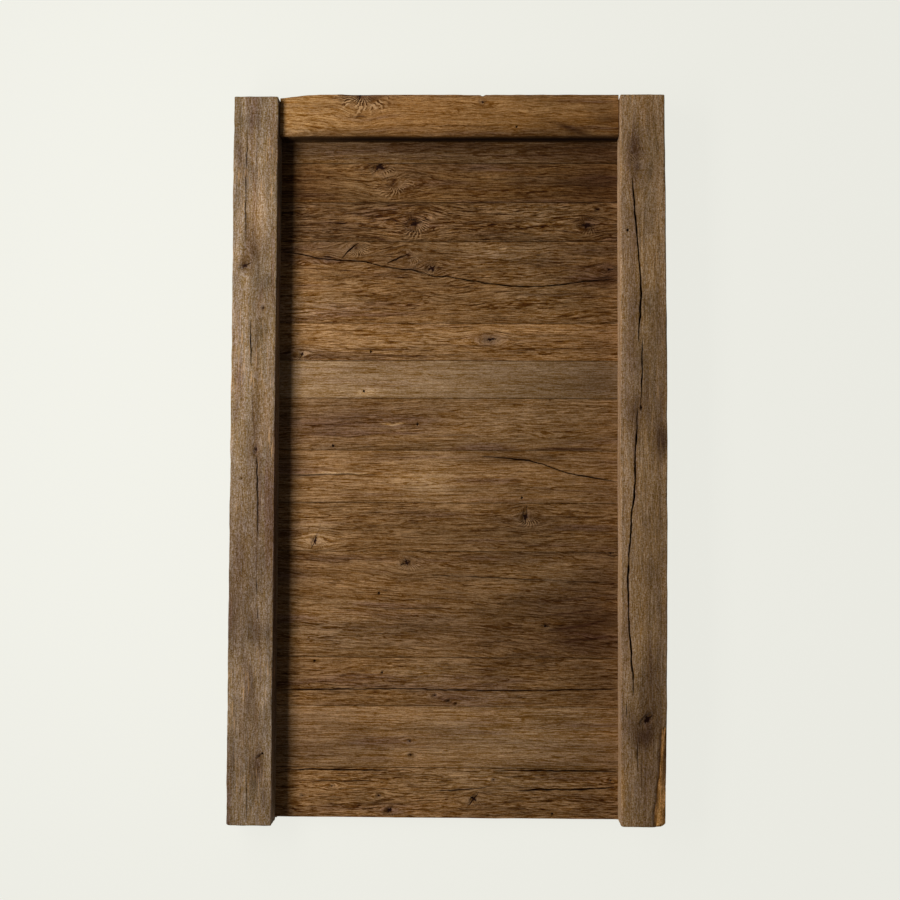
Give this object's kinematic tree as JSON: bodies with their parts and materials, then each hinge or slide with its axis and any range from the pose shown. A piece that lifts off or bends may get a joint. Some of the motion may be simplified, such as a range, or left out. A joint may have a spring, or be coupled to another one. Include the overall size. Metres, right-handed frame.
{
  "type": "wall cladding panel",
  "caption": "Rustic cladding panel of old timber: random-width boards tongued together and housed between two square posts under a top rail.",
  "frame": {"origin": "middle of the plane that the two posts' backs lie on", "axes": "+X across the panel to the right post, +Y from the posts' feet to their heads, +Z out of the panel's face"},
  "size_m": [1, 1.681, 0.1],
  "materials": {
    "left_post": "weathered, unfinished",
    "right_post": "weathered, unfinished",
    "top_rail": "sawn and worn smooth",
    "boards": "aged brown, dull"
  },
  "bodies": {
    "root": {"left_post": "left_post", "right_post": "right_post", "top_rail": "top_rail", "board_01": "boards", "board_02": "boards", "board_03": "boards", "board_04": "boards", "board_05": "boards", "board_06": "boards", "board_07": "boards", "board_08": "boards", "board_09": "boards", "board_10": "boards", "board_11": "boards", "board_12": "boards", "board_13": "boards"}
  },
  "joints": []
}
